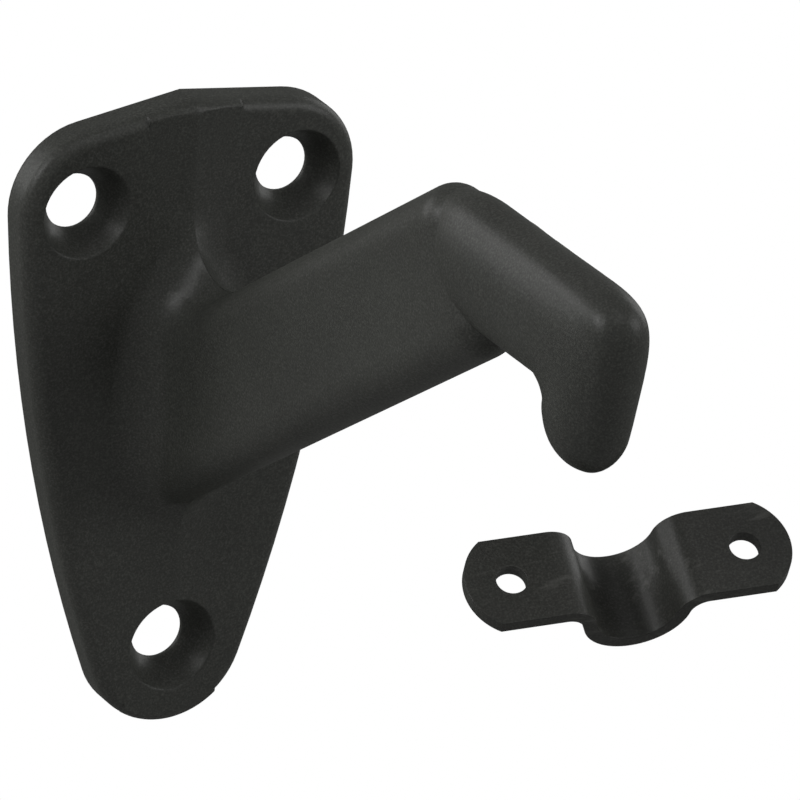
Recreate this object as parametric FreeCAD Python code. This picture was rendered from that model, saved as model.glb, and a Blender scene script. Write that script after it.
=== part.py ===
import FreeCAD, Part
import math
import os

V = FreeCAD.Vector

# Handrail bracket, millimetres.
# The wall is the plane y = 0 and the bracket stands out from it towards -Y.
# Z is up, X = 0 is the plane of symmetry.
# The origin lies on the wall midway between the two upper screw holes.

# ---- wall plate ------------------------------------------------------
upper_hole_spacing = 27.0       # between the two upper screw centres
hole_drop = 56.8                # upper screw line down to the lower screw
screw_clearance = 6.6           # through hole for a No. 12 screw
countersink_diameter = 11.15
countersink_depth = 3.8         # of the cone, a short throat behind it
plate_thickness = 4.2
plate_half_width = 21.45        # at the widest place
peak_height = 11.3              # top point above the upper screw line
shoulder_slope = 8.0            # fall of the top edge each side, degrees
corner_radius = 9.6
side_radius = 218.0             # long shallow sweep of each side
foot_radius = 10.0              # round end about the lower screw
edge_round = 1.6                # rolled front edge of the plate
crest_height = 0.35             # low central crest on the plate's face
crest_half_width = 6.0
crest_flank_share = 0.28        # height left half way down a crest flank

# ---- arm -------------------------------------------------------------
arm_angle = 35.25               # rise of the arm above level
arm_width = 8.2
arm_height = 19.5
arm_root_drop = 30.15           # arm axis meets the wall this far down
arm_length = 77.3               # along the axis from the plate's face
arm_end_round_share = 0.93      # of half the arm's width
root_fillet = 5.2               # sweep of the casting into the plate
keel_radius_over = 7.0          # crest line rolling out onto the arm's top
keel_radius_under = 9.0         # and onto its underside
keel_end_half_width = 1.6       # each keel narrows to this on the arm
keel_hollow = 0.12              # how far its flanks sag below straight
keel_sink = 0.06                # both ends of a keel lie this far inside
keel_bite = 1.5                 # depth of a keel's foot in the casting

# ---- finger ----------------------------------------------------------
finger_half_width = 4.4
finger_top = 24.8               # above the upper screw line
finger_depth = 14.4             # height of the finger's oval
finger_start = 60.2             # projection where the finger leaves the arm
finger_full = 67.8              # projection where it reaches full height
bend_radius = 22.0              # roll of the top line over the bend
end_radius_share = 0.8          # oval's end radius over its half width

# ---- downturned tip --------------------------------------------------
tip_inner = 83.8                # projection of the tip's inner face
tip_outer = 97.6                # projection of the outermost point
tip_corner_radius = 5.2
tip_lean = 12.0                 # outer face leans back by this, degrees
tip_bottom = 3.2                # underside of the tip
tip_inner_round = 2.0           # inner corner under the finger
tip_inner_taper = 20.0          # inner face runs outward going down
tip_side_taper = 8.0            # each side draws in going down
tip_dome = 4.4                  # height of the domed end
tip_flat_share = 0.16           # width left at the very end of the dome
bend_lead = 3.0                 # spacing of the straight sections before it
swell_steps = 3                 # sections through each shaped length
lead_steps = 3
bend_steps = 4
dome_steps = 5

# ---- rail strap ------------------------------------------------------
strap_hole_spacing = 26.0
strap_screw_clearance = 3.4
strap_end_beyond_hole = 5.1
strap_width = 10.55
strap_thickness = 1.5
strap_side_clearance = 0.13     # trough over the finger, each side
strap_shoulder_radius = 2.05    # inner radius of the two upper bends
strap_wall_angle = 80.0         # steepest slope of the trough
strap_end_radius = 6.4          # shallow arc closing each tab
strap_across = 7.1              # where the loose strap lies: to the right,
strap_out = 88.49               # out from the wall
strap_drop = 10.48              # and below the upper screw line
strap_yaw = -11.3               # its turn, tilt and roll there, degrees
strap_tilt = 30.6
strap_roll = -4.6

hole_half = upper_hole_spacing / 2.0
arm_rad = math.radians(arm_angle)
ARM = V(0.0, -math.cos(arm_rad), math.sin(arm_rad))
ARM_UP = V(0.0, math.sin(arm_rad), math.cos(arm_rad))


def at(x, out, z):
    """A point given by its projection from the wall."""
    return V(x, -out, z)


def arc3(a, b, c):
    return Part.Arc(a, b, c).toShape()


# ---- plate -----------------------------------------------------------
def circle_meet(c1, r1, c2, r2):
    """Left-hand meeting point of two circles in the XZ plane."""
    dx = c2[0] - c1[0]
    dz = c2[1] - c1[1]
    d = math.hypot(dx, dz)
    a = (r1 * r1 - r2 * r2 + d * d) / (2.0 * d)
    h = math.sqrt(max(r1 * r1 - a * a, 0.0))
    mx = c1[0] + a * dx / d
    mz = c1[1] + a * dz / d
    p = (mx + h * dz / d, mz - h * dx / d)
    q = (mx - h * dz / d, mz + h * dx / d)
    return p if p[0] < q[0] else q


def towards(c, p, r):
    """Point at distance r from c in the direction away from p."""
    d = math.hypot(c[0] - p[0], c[1] - p[1])
    return (c[0] + (c[0] - p[0]) * r / d, c[1] + (c[1] - p[1]) * r / d)


def mid_arc(c, r, p, q):
    """Middle of the short arc from p to q about c."""
    mx = (p[0] + q[0]) / 2.0 - c[0]
    mz = (p[1] + q[1]) / 2.0 - c[1]
    d = math.hypot(mx, mz)
    return (c[0] + mx * r / d, c[1] + mz * r / d)


def half_outline():
    """Right half of the shield: sloped shoulder, round corner, swept side."""
    slope = math.radians(shoulder_slope)
    cx = plate_half_width - corner_radius
    cz = peak_height - cx * math.tan(slope) - corner_radius / math.cos(slope)
    corner = (cx, cz)
    foot = (0.0, -hole_drop)
    sweep = circle_meet(corner, side_radius - corner_radius,
                        foot, side_radius - foot_radius)
    top_tan = (cx + corner_radius * math.sin(slope),
               cz + corner_radius * math.cos(slope))
    side_tan = towards(corner, sweep, corner_radius)
    foot_tan = towards(foot, sweep, foot_radius)
    corner_mid = mid_arc(corner, corner_radius, top_tan, side_tan)
    side_mid = mid_arc(sweep, side_radius, side_tan, foot_tan)
    peak = (0.0, peak_height)
    heel = (0.0, -hole_drop - foot_radius)
    foot_mid = mid_arc(foot, foot_radius, foot_tan, heel)

    def p(q):
        return V(q[0], 0.0, q[1])

    return Part.Wire([
        Part.makeLine(p(peak), p(top_tan)),
        arc3(p(top_tan), p(corner_mid), p(side_tan)),
        arc3(p(side_tan), p(side_mid), p(foot_tan)),
        arc3(p(foot_tan), p(foot_mid), p(heel)),
        Part.makeLine(p(heel), p(peak)),
    ])


def plate_slab(thickness):
    """The outline raised off the wall, its front edge rolled over."""
    half = Part.Face(half_outline()).extrude(V(0.0, -thickness, 0.0))
    front = [e for e in half.Edges
             if abs(e.BoundBox.YMin + thickness) < 1e-6
             and abs(e.BoundBox.YMax + thickness) < 1e-6
             and e.BoundBox.XMax > edge_round]
    half = half.makeFillet(edge_round, front)
    other = half.mirror(V(0, 0, 0), V(1, 0, 0))
    return half.fuse(other).removeSplitter()


def crest():
    """Low crest with hollow flanks running down the plate's centre line."""
    foot = plate_thickness
    flank = crest_height * crest_flank_share
    half = crest_half_width
    base = foot - crest_height * 3.0
    top = peak_height + edge_round
    pts = [at(-half, base, top), at(-half, foot, top),
           at(-half / 2.0, foot + flank, top), at(0.0, foot + crest_height, top),
           at(half / 2.0, foot + flank, top), at(half, foot, top),
           at(half, base, top)]
    section = Part.Wire([
        Part.makeLine(pts[0], pts[1]), arc3(pts[1], pts[2], pts[3]),
        arc3(pts[3], pts[4], pts[5]), Part.makeLine(pts[5], pts[6]),
        Part.makeLine(pts[6], pts[0]),
    ])
    run = top + hole_drop + foot_radius + edge_round
    bar = Part.Face(section).extrude(V(0.0, 0.0, -run))
    return bar.common(plate_slab(plate_thickness + crest_height))


def screw_hole(x, z):
    """Through hole with a countersink opening on the plate's face."""
    r_hole = screw_clearance / 2.0
    r_sink = countersink_diameter / 2.0
    depth = min(countersink_depth, plate_thickness)
    proud = crest_height * 2.0
    r_proud = r_sink + proud * (r_sink - r_hole) / depth
    drill = Part.makeCylinder(r_hole, plate_thickness * 2.0,
                              V(x, plate_thickness / 2.0, z), V(0, -1, 0))
    cone = Part.makeCone(r_hole, r_proud, depth + proud,
                         at(x, plate_thickness - depth, z), V(0, -1, 0))
    return drill.fuse(cone)


# ---- arm -------------------------------------------------------------
def arm_root():
    """Where the arm's axis meets the wall."""
    return at(0.0, 0.0, -arm_root_drop)


def arm_bar():
    """Full-round bar of upright oblong section with a rounded far end."""
    r = arm_width / 2.0
    flat = arm_height / 2.0 - r
    face_run = plate_thickness / math.cos(arm_rad)
    back_run = arm_height * math.tan(arm_rad)
    start = arm_root() - ARM * back_run
    across = V(r, 0, 0)
    up = ARM_UP * flat
    cap = ARM_UP * (flat + r)
    section = Part.Wire([
        Part.makeLine(start + across - up, start + across + up),
        arc3(start + across + up, start + cap, start - across + up),
        Part.makeLine(start - across + up, start - across - up),
        arc3(start - across - up, start - cap, start + across - up),
    ])
    run = arm_length + face_run + back_run
    bar = Part.Face(section).extrude(ARM * run)
    size = 4.0 * (arm_height + back_run)
    behind = Part.makeBox(size, size, size,
                          V(-size / 2.0, -plate_thickness / 2.0, -arm_root_drop - size / 2.0))
    return bar.cut(behind)


def arm_end_edges(bar):
    """Edges of the arm's far end face."""
    far = arm_root() + ARM * (arm_length + plate_thickness / math.cos(arm_rad))
    out = []
    for e in bar.Edges:
        mid = e.valueAt((e.FirstParameter + e.LastParameter) / 2.0)
        ends = [v.Point for v in e.Vertexes] + [mid]
        if all(abs((q - far).dot(ARM)) < 1e-4 for q in ends):
            out.append(e)
    return out


def root_edges(body):
    """Edges where the arm stands on the plate's face."""
    out = []
    reach = arm_height / math.cos(arm_rad)
    for e in body.Edges:
        b = e.BoundBox
        flat = abs(b.YMin + plate_thickness) < 1e-4 and abs(b.YMax + plate_thickness) < 1e-4
        inside = b.XMax < arm_width and b.XMin > -arm_width
        if flat and inside and b.ZMax < -arm_root_drop + reach and b.ZMin > -arm_root_drop - reach:
            out.append(e)
    return out


def arm_on_plate():
    bar = arm_bar()
    bar = bar.makeFillet(arm_width / 2.0 * arm_end_round_share, arm_end_edges(bar))
    body = plate_slab(plate_thickness).fuse(bar)
    return body.makeFillet(root_fillet, root_edges(body))


# ---- keels: the crest carried round onto the arm ----------------------
def keel_centre(radius, side):
    """Centre of the arc from the plate's crest to the arm, side +1 above, -1 below."""
    out = plate_thickness + crest_height + radius
    off = side * (arm_height / 2.0 + radius) + out * math.sin(arm_rad)
    return out, off / math.cos(arm_rad) - arm_root_drop


def keel_ray(side, turn):
    """Direction from the arc's centre, turned from the wall to the arm."""
    return V(0.0, math.cos(turn), -side * math.sin(turn))


def depth_to(body, start, way):
    """Distance from a point in the open to the body's skin."""
    probe = Part.makeLine(start, start + way * (arm_height * 2.0)).common(body)
    return min((v.Point - start).Length for v in probe.Vertexes)


def keel_section(centre, way, apex, half, foot):
    """Sharp ridge with hollow flanks, in the plane of X and the ray."""
    x = V(half, 0, 0)
    top = centre + way * apex
    low = centre + way * foot
    base = low + way * keel_bite
    sag = (low - top) * (0.5 + keel_hollow)
    right = Part.BezierCurve()
    right.setPoles([top, top + x * 0.5 + sag, low + x])
    left = Part.BezierCurve()
    left.setPoles([low - x, top - x * 0.5 + sag, top])
    return Part.Wire([
        right.toShape(), Part.makeLine(low + x, base + x),
        Part.makeLine(base + x, base - x),
        Part.makeLine(base - x, low - x), left.toShape(),
    ])


def keel(body, radius, side):
    """Ridge that leaves the crest and runs out on the arm, landing on the fillet."""
    out, z = keel_centre(radius, side)
    centre = at(0.0, out, z)
    turn = math.pi / 2.0 + side * arm_rad
    count = 4 + int(round(3.0 * turn))
    wires = []
    for k in range(count + 1):
        share = k / count
        way = keel_ray(side, turn * share)
        half = crest_half_width + (keel_end_half_width - crest_half_width) * share
        ended = k in (0, count)
        apex = radius + (keel_sink if ended else 0.0)
        foot = depth_to(body, centre + V(half, 0, 0), way) + keel_sink
        wires.append(keel_section(centre, way, apex, half, foot))
    return Part.makeLoft(wires, True, False)


# ---- finger and tip --------------------------------------------------
def oval(inner, outer, half_width, share):
    """Closed four-arc oval between two points of the plane of symmetry."""
    i = at(0.0, inner[0], inner[1])
    o = at(0.0, outer[0], outer[1])
    centre = (i + o) * 0.5
    axis = o - i
    b = axis.Length / 2.0
    axis.normalize()
    a = half_width
    r = a * share
    side = (a * a + (b - r) ** 2 - r * r) / (2.0 * (a - r))
    joint = math.atan2(b - r, side - a)
    x = V(1, 0, 0)
    jx = r * math.cos(joint)
    jz = (b - r) + r * math.sin(joint)

    def p(u, w):
        return centre + x * u + axis * w

    return Part.Wire([
        arc3(p(jx, -jz), p(a, 0.0), p(jx, jz)),
        arc3(p(jx, jz), p(0.0, b), p(-jx, jz)),
        arc3(p(-jx, jz), p(-a, 0.0), p(-jx, -jz)),
        arc3(p(-jx, -jz), p(0.0, -b), p(jx, -jz)),
    ])


def tip_reach(pivot, turn):
    """Outer outline of the tip met by a ray turned from upright."""
    lean = math.radians(tip_lean)
    s = math.sin(turn)
    c = math.cos(turn)
    r = tip_corner_radius
    corner = (tip_outer - r, finger_top - r)
    hits = []
    if c > 1e-6:
        t = (finger_top - pivot[1]) / c
        if pivot[0] + t * s <= corner[0]:
            hits.append(t)
    # leaning outer face, tangent to the corner
    nx = math.cos(lean)
    nz = -math.sin(lean)
    d = (corner[0] - pivot[0]) * nx + (corner[1] - pivot[1]) * nz + r
    den = s * nx + c * nz
    if den > 1e-6:
        t = d / den
        if pivot[1] + t * c <= corner[1] + r * nz:
            hits.append(t)
    if hits:
        t = hits[0]
    else:
        vx = corner[0] - pivot[0]
        vz = corner[1] - pivot[1]
        along = vx * s + vz * c
        off = vx * c - vz * s
        t = along + math.sqrt(max(r * r - off * off, 0.0))
    return (pivot[0] + t * s, pivot[1] + t * c)


def bend_pivot():
    """Centre of the small inner corner under the finger."""
    return (tip_inner - tip_inner_round, finger_top - finger_depth - tip_inner_round)


def swell_sections():
    """The finger growing out of the arm's end: inner, outer, half width."""
    middle = finger_top - finger_depth / 2.0
    rows = []
    for k in range(swell_steps + 1):
        out = finger_start + (finger_full - finger_start) * k / swell_steps
        back = finger_full - out
        drop = bend_radius - math.sqrt(bend_radius ** 2 - back ** 2)
        top = finger_top - drop
        rows.append(((out, 2.0 * middle - top), (out, top), finger_half_width - drop))
    return rows


def bend_sections():
    """A short straight lead, then sections fanned about the inner corner."""
    pivot = bend_pivot()
    rows = []
    for k in range(lead_steps):
        out = pivot[0] - bend_lead * (lead_steps - k)
        rows.append(((out, finger_top - finger_depth), (out, finger_top), finger_half_width))
    for k in range(bend_steps + 1):
        turn = math.pi / 2.0 * k / bend_steps
        inner = (pivot[0] + tip_inner_round * math.sin(turn),
                 pivot[1] + tip_inner_round * math.cos(turn))
        rows.append((inner, tip_reach(pivot, turn), finger_half_width))
    return rows


def dome_sections(inner, outer):
    """Tip below the bend: inner point, outer point, half width."""
    start = min(tip_bottom + tip_dome, inner[1])
    last = math.acos(tip_flat_share)
    rows = []
    for k in range(1, dome_steps + 1):
        turn = last * k / dome_steps
        z = start - (start - tip_bottom) * math.sin(turn) / math.sin(last)
        dz = inner[1] - z
        half = finger_half_width - dz * math.tan(math.radians(tip_side_taper))
        inset = half * (1.0 - math.cos(turn))
        rows.append(((inner[0] + inset + dz * math.tan(math.radians(tip_inner_taper)), z),
                     (outer[0] - inset - dz * math.tan(math.radians(tip_lean)), z),
                     half - inset))
    return rows


def ovals(rows):
    return [oval(i, o, half, end_radius_share) for i, o, half in rows]


def finger():
    """Swell out of the arm, straight bar, then bend and domed tip in one sweep."""
    rows = bend_sections()
    rows += dome_sections(rows[-1][0], rows[-1][1])
    swell = ovals(swell_sections())
    run = rows[0][0][0] - finger_full
    body = Part.makeLoft(swell, True, False)
    body = body.fuse(Part.Face(swell[-1]).extrude(V(0.0, -run, 0.0)))
    return body.fuse(Part.makeLoft(ovals(rows), True, False))


def casting():
    root = arm_on_plate()
    body = root.fuse(crest())
    body = body.fuse(keel(root, keel_radius_over, 1.0))
    body = body.fuse(keel(root, keel_radius_under, -1.0))
    body = body.fuse(finger())
    for x, z in ((-hole_half, 0.0), (hole_half, 0.0), (0.0, -hole_drop)):
        body = body.cut(screw_hole(x, z))
    return body.removeSplitter().Solids[0]


# ---- strap -----------------------------------------------------------
def strap_profile():
    """Side view of the bent strip about its own middle, in X and Z."""
    t = strap_thickness
    ri = finger_half_width + strap_side_clearance
    ru = ri + t / 2.0
    rb = strap_shoulder_radius + t / 2.0
    th = math.radians(strap_wall_angle)
    cx = (ru + rb) * math.sin(th)
    deep = (ru + rb) * (1.0 - math.cos(th))
    end = strap_hole_spacing / 2.0 + strap_end_beyond_hole
    uc = (0.0, ru - deep)
    bc = (cx, -rb)

    def p(q, side=1.0):
        return V(side * q[0], 0.0, q[1])

    def on(c, r, a):
        return (c[0] + r * math.sin(a), c[1] - r * math.cos(a))

    h = t / 2.0
    edges = []
    low = [(end, -h), (cx, -h), on(bc, rb - h, math.pi + th / 2.0), on(uc, ru + h, th), on(uc, ru + h, 0.0)]
    top = [(end, h), (cx, h), on(bc, rb + h, math.pi + th / 2.0), on(uc, ru - h, th), on(uc, ru - h, 0.0)]
    for chain in (low, top):
        edges.append(Part.makeLine(p(chain[0]), p(chain[1])))
        edges.append(arc3(p(chain[1]), p(chain[2]), p(chain[3])))
        edges.append(arc3(p(chain[3]), p(chain[4]), p(chain[3], -1.0)))
        edges.append(arc3(p(chain[3], -1.0), p(chain[2], -1.0), p(chain[1], -1.0)))
        edges.append(Part.makeLine(p(chain[1], -1.0), p(chain[0], -1.0)))
    edges.append(Part.makeLine(p(low[0]), p(top[0])))
    edges.append(Part.makeLine(p(low[0], -1.0), p(top[0], -1.0)))
    return Part.Wire(Part.__sortEdges__(edges)), deep


def strap_blank(deep):
    """Plan outline of the strip: straight sides, shallow arc ends."""
    end = strap_hole_spacing / 2.0 + strap_end_beyond_hole
    w = strap_width / 2.0
    r = strap_end_radius
    corner = end - r + math.sqrt(r * r - w * w)
    z = -deep - 2.0 * strap_thickness
    wire = Part.Wire([
        Part.makeLine(V(-corner, -w, z), V(corner, -w, z)),
        arc3(V(corner, -w, z), V(end, 0, z), V(corner, w, z)),
        Part.makeLine(V(corner, w, z), V(-corner, w, z)),
        arc3(V(-corner, w, z), V(-end, 0, z), V(-corner, -w, z)),
    ])
    return Part.Face(wire).extrude(V(0, 0, deep + 4.0 * strap_thickness))


def strap():
    wire, deep = strap_profile()
    w = strap_width
    strip = Part.Face(wire).extrude(V(0, 2.0 * w, 0))
    strip.translate(V(0, -w, 0))
    body = strip.common(strap_blank(deep))
    for s in (-1.0, 1.0):
        hole = Part.makeCylinder(strap_screw_clearance / 2.0, 4.0 * strap_thickness,
                                 V(s * strap_hole_spacing / 2.0, 0, -2.0 * strap_thickness))
        body = body.cut(hole)
    turn = FreeCAD.Rotation(V(0, 0, 1), strap_yaw)
    turn = turn.multiply(FreeCAD.Rotation(V(1, 0, 0), strap_tilt))
    turn = turn.multiply(FreeCAD.Rotation(V(0, 1, 0), strap_roll))
    body.Placement = FreeCAD.Placement(at(strap_across, strap_out, -strap_drop), turn)
    return body.Solids[0]


os.makedirs("parts", exist_ok=True)
casting().exportStep("parts/bracket_casting.step")
strap().exportStep("parts/rail_strap.step")
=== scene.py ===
import math
import bpy
from mathutils import Matrix, Vector

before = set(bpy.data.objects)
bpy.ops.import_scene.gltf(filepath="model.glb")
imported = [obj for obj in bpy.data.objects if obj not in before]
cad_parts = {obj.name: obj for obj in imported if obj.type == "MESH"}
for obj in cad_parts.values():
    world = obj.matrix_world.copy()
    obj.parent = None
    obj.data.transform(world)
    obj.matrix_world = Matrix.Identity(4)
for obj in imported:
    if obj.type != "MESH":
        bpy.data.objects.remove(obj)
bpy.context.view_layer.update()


# ---------------------------------------------------------------- node helpers
def new_material(name):
    mat = bpy.data.materials.new(name)
    mat.use_nodes = True
    mat.node_tree.nodes.clear()
    return mat, mat.node_tree.nodes, mat.node_tree.links


def add(nodes, kind, **values):
    node = nodes.new(kind)
    for key, value in values.items():
        setattr(node, key, value)
    return node


def noise(nodes, links, coords, scale, detail, roughness, stretch=None):
    tex = nodes.new("ShaderNodeTexNoise")
    tex.inputs["Scale"].default_value = scale
    tex.inputs["Detail"].default_value = detail
    tex.inputs["Roughness"].default_value = roughness
    if stretch:
        mapping = nodes.new("ShaderNodeMapping")
        mapping.inputs["Scale"].default_value = stretch
        links.new(coords, mapping.inputs["Vector"])
        coords = mapping.outputs["Vector"]
    links.new(coords, tex.inputs["Vector"])
    return tex.outputs["Fac"]


def ramp(nodes, links, fac, stops):
    """A colour ramp. Each stop is a place and a colour of three values."""
    node = nodes.new("ShaderNodeValToRGB")
    ends = node.color_ramp.elements
    while len(ends) < len(stops):
        ends.new(0.5)
    for element, (place, colour) in zip(ends, stops):
        element.position = place
        element.color = (*colour, 1.0)
    links.new(fac, node.inputs["Fac"])
    return node.outputs["Color"]


def grey(value):
    return (value, value, value)


def blend(nodes, links, kind, factor, under, over):
    """Two colours mixed. The factor and the upper colour are each a value or another node's socket."""
    mix = add(nodes, "ShaderNodeMix", data_type="RGBA", blend_type=kind)
    links.new(under, mix.inputs["A"])
    for source, socket in ((factor, mix.inputs["Factor"]), (over, mix.inputs["B"])):
        if isinstance(source, bpy.types.NodeSocket):
            links.new(source, socket)
        else:
            socket.default_value = source
    return mix.outputs["Result"]


# ---------------------------------------------------------------- the coat
# Sizes are in metres, and a scale is the number of noise cells in a metre.
CLOUDS = dict(scale=60.0, detail=3.0, roughness=0.55)           # about 17 mm across
GRAINS = dict(scale=4200.0, detail=2.0, roughness=0.6)          # about 0.24 mm across
UNEVENNESS = dict(scale=1500.0, detail=2.0, roughness=0.5)      # about 0.7 mm across
STREAKS = dict(scale=420.0, detail=3.0, roughness=0.7, stretch=(0.12, 1.0, 1.0))    # drawn out along X

# The noise's level, and the share of the coat's colour there.
CLOUD_STOPS = ((0.30, 0.90), (0.70, 1.10))
GRAIN_STOPS = ((0.34, 0.74), (0.52, 1.00), (0.72, 1.60))

WEAR_STARTS, WEAR_FULL = 0.60, 0.74     # levels of the streaks' noise
WORN_COLOUR = (0.060, 0.060, 0.056, 1.0)
ROUGH_BELOW, ROUGH_ABOVE = 0.05, 0.06   # how far the clouds take the roughness from its own value
BUMP_HEIGHT = 0.00006
EDGE_SAMPLES = 8
SHEEN_IOR = 2.0


def coat_colour(nodes, links, coords, cloud, colour, scratched):
    """Clouded colour with grains of powder in it and, where scratched is above 0, paler streaks."""
    clouded = ramp(nodes, links, cloud, [
        (level, tuple(share * part for part in colour)) for level, share in CLOUD_STOPS])
    powder = noise(nodes, links, coords, **GRAINS)
    grains = ramp(nodes, links, powder, [(level, grey(share)) for level, share in GRAIN_STOPS])
    tint = blend(nodes, links, "MULTIPLY", 1.0, clouded, grains)
    if not scratched:
        return tint
    streaks = noise(nodes, links, coords, **STREAKS)
    wear = ramp(nodes, links, streaks, [(WEAR_STARTS, grey(0.0)), (WEAR_FULL, grey(scratched))])
    return blend(nodes, links, "MIX", wear, tint, WORN_COLOUR)


def coat_normal(nodes, links, coords, bumpiness, edge_radius):
    """Fine unevenness, over edges that are shaded as if the coat rounded them a little."""
    eased = add(nodes, "ShaderNodeBevel", samples=EDGE_SAMPLES)
    eased.inputs["Radius"].default_value = edge_radius
    bump = nodes.new("ShaderNodeBump")
    bump.inputs["Strength"].default_value = bumpiness
    bump.inputs["Distance"].default_value = BUMP_HEIGHT
    links.new(noise(nodes, links, coords, **UNEVENNESS), bump.inputs["Height"])
    links.new(eased.outputs["Normal"], bump.inputs["Normal"])
    return bump.outputs["Normal"]


def powder_coat(name, colour, rough, sheen, sheen_rough, bumpiness, edge_radius, scratched=0.0):
    """Matt black coating: faint clouds, fine grains, eased edges and, where asked for, soft wear."""
    mat, nodes, links = new_material(name)
    out = nodes.new("ShaderNodeOutputMaterial")
    skin = nodes.new("ShaderNodeBsdfPrincipled")
    links.new(skin.outputs["BSDF"], out.inputs["Surface"])
    coords = nodes.new("ShaderNodeTexCoord").outputs["Object"]

    cloud = noise(nodes, links, coords, **CLOUDS)
    links.new(coat_colour(nodes, links, coords, cloud, colour, scratched), skin.inputs["Base Color"])

    roughness = nodes.new("ShaderNodeMapRange")
    roughness.inputs["To Min"].default_value = rough - ROUGH_BELOW
    roughness.inputs["To Max"].default_value = rough + ROUGH_ABOVE
    links.new(cloud, roughness.inputs["Value"])
    links.new(roughness.outputs["Result"], skin.inputs["Roughness"])

    # All of the sheen comes from the shader's coat layer, so the layer under it has none.
    skin.inputs["Specular IOR Level"].default_value = 0.0
    skin.inputs["Coat Weight"].default_value = sheen
    skin.inputs["Coat Roughness"].default_value = sheen_rough
    skin.inputs["Coat IOR"].default_value = SHEEN_IOR

    normal = coat_normal(nodes, links, coords, bumpiness, edge_radius)
    links.new(normal, skin.inputs["Normal"])
    links.new(normal, skin.inputs["Coat Normal"])
    return mat


def assign(node_name, mat):
    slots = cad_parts[node_name].data.materials
    for index in range(len(slots)):
        slots[index] = mat


assign("bracket_casting", powder_coat(
    "black_casting", colour=(0.0178, 0.0184, 0.0166), rough=0.60,
    sheen=0.065, sheen_rough=0.38, bumpiness=0.5, edge_radius=0.0004))
assign("rail_strap", powder_coat(
    "black_strip", colour=(0.0145, 0.0148, 0.0134), rough=0.58,
    sheen=0.06, sheen_rough=0.36, bumpiness=0.30, edge_radius=0.0002, scratched=0.45))


# ---------------------------------------------------------------- surroundings
WHITE = 1.0                 # strength at which the background shows as white
AMBIENT = 0.42              # strength of the soft light from all round
FLOOR_HEIGHT = -0.45        # well below the part, which is held by a wall
FLOOR_HALF = 3.0            # half the floor's side
FLOOR_CORNERS = ((-1, -1), (1, -1), (1, 1), (-1, 1))
FIBRES = dict(scale=25.0, detail=3.0, roughness=0.5)            # about 40 mm across
PAPER_STOPS = ((0.3, (0.80, 0.80, 0.79)), (0.7, (0.84, 0.84, 0.83)))
PART_MIDDLE = (0.0, -0.045, -0.020)     # the lamps point here


def shown_white(nodes, links, lit, white):
    """What the camera, a glossy surface or glass sees is white, and all else gets the lit shader."""
    path = nodes.new("ShaderNodeLightPath")
    direct = add(nodes, "ShaderNodeMath", operation="MAXIMUM")
    links.new(path.outputs["Is Camera Ray"], direct.inputs[0])
    links.new(path.outputs["Is Transmission Ray"], direct.inputs[1])
    seen = add(nodes, "ShaderNodeMath", operation="MAXIMUM")
    links.new(direct.outputs["Value"], seen.inputs[0])
    links.new(path.outputs["Is Glossy Ray"], seen.inputs[1])
    mix = nodes.new("ShaderNodeMixShader")
    links.new(seen.outputs["Value"], mix.inputs["Fac"])
    links.new(lit, mix.inputs[1])
    links.new(white, mix.inputs[2])
    return mix.outputs["Shader"]


def floor_paper():
    """Pale paper for the light that it sends back, and plain white to look at."""
    mat, nodes, links = new_material("studio_floor")
    out = nodes.new("ShaderNodeOutputMaterial")
    coords = nodes.new("ShaderNodeTexCoord").outputs["Object"]
    tone = ramp(nodes, links, noise(nodes, links, coords, **FIBRES), PAPER_STOPS)
    paper = nodes.new("ShaderNodeBsdfDiffuse")
    links.new(tone, paper.inputs["Color"])
    white = nodes.new("ShaderNodeEmission")
    white.inputs["Strength"].default_value = WHITE
    shader = shown_white(nodes, links, paper.outputs["BSDF"], white.outputs["Emission"])
    links.new(shader, out.inputs["Surface"])
    return mat


def studio_floor():
    mesh = bpy.data.meshes.new("studio_floor")
    corners = [(x * FLOOR_HALF, y * FLOOR_HALF, FLOOR_HEIGHT) for x, y in FLOOR_CORNERS]
    mesh.from_pydata(corners, [], [(0, 1, 2, 3)])
    mesh.materials.append(floor_paper())
    floor = bpy.data.objects.new("studio_floor", mesh)
    bpy.context.scene.collection.objects.link(floor)


def background(nodes, colour, strength):
    shader = nodes.new("ShaderNodeBackground")
    shader.inputs["Color"].default_value = (*colour, 1.0)
    shader.inputs["Strength"].default_value = strength
    return shader.outputs["Background"]


def world_light():
    world = bpy.data.worlds.new("studio")
    bpy.context.scene.world = world
    world.use_nodes = True
    nodes = world.node_tree.nodes
    links = world.node_tree.links
    nodes.clear()
    out = nodes.new("ShaderNodeOutputWorld")
    soft = background(nodes, (1.0, 1.0, 0.99), AMBIENT)
    white = background(nodes, (1.0, 1.0, 1.0), WHITE)
    links.new(shown_white(nodes, links, soft, white), out.inputs["Surface"])


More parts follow.
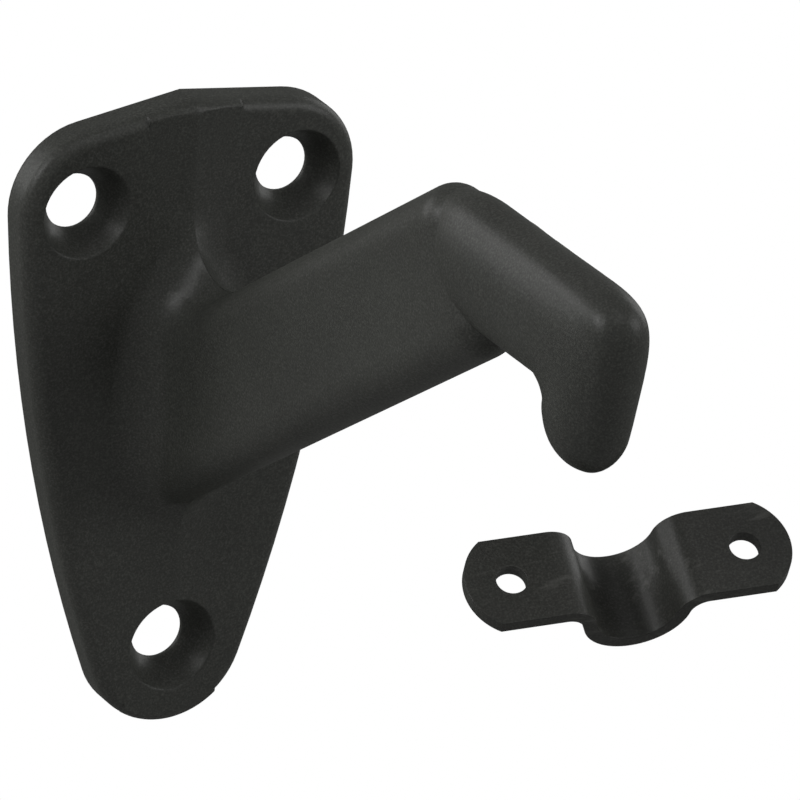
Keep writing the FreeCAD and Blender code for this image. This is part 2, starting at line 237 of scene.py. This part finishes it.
def area(name, place, size, power):
    """A square lamp, turned towards the middle of the part. Its power is in watts."""
    data = bpy.data.lights.new(name, "AREA")
    data.energy = power
    data.shape = "SQUARE"
    data.size = size
    lamp = bpy.data.objects.new(name, data)
    lamp.location = place
    way = Vector(PART_MIDDLE) - Vector(place)
    lamp.rotation_euler = way.to_track_quat("-Z", "Y").to_euler()
    bpy.context.scene.collection.objects.link(lamp)


studio_floor()
world_light()
area("soft_above", (0.0, -0.25, 0.35), size=0.25, power=0.40)
area("soft_left", (-0.45, 0.0, 0.30), size=0.25, power=3.0)
area("rim_left", (-0.37, 0.42, 0.16), size=0.36, power=3.4)
area("soft_right", (0.40, -0.35, 0.20), size=0.30, power=2.4)
area("rim_right", (0.50, 0.14, 0.10), size=0.34, power=3.0)


# ---------------------------------------------------------------- camera
# The photograph's viewing angle and framing.
AZIMUTH = math.radians(31.338)
ELEVATION = math.radians(24.784)
ROLL = math.radians(3.323)
DISTANCE = 1.0                          # from the frame's origin, along the line of sight
ASIDE, BELOW = 0.025465, 0.024866       # to the right of it and below it, as the camera sees them
SENSOR_WIDTH = 36.0                     # this and the focal length are in millimetres
FOCAL_LENGTH = 397.0476
CLIP_NEAR, CLIP_FAR = 0.05, 20.0


def camera():
    """Seen from the left and above, a little rolled, with a long lens."""
    back = Vector((
        -math.sin(AZIMUTH) * math.cos(ELEVATION),
        -math.cos(AZIMUTH) * math.cos(ELEVATION),
        math.sin(ELEVATION)))
    level = Vector((math.cos(AZIMUTH), -math.sin(AZIMUTH), 0.0))
    upright = back.cross(level)
    right = math.cos(ROLL) * level + math.sin(ROLL) * upright
    up = math.cos(ROLL) * upright - math.sin(ROLL) * level
    place = right * ASIDE - up * BELOW + back * DISTANCE
    turn = Matrix((right, up, back)).transposed().to_4x4()
    data = bpy.data.cameras.new("camera")
    data.sensor_width = SENSOR_WIDTH
    data.lens = FOCAL_LENGTH
    data.clip_start = CLIP_NEAR
    data.clip_end = CLIP_FAR
    eye = bpy.data.objects.new("camera", data)
    eye.matrix_world = Matrix.Translation(place) @ turn
    bpy.context.scene.collection.objects.link(eye)
    bpy.context.scene.camera = eye


camera()

bpy.context.scene.view_settings.view_transform = "Standard"
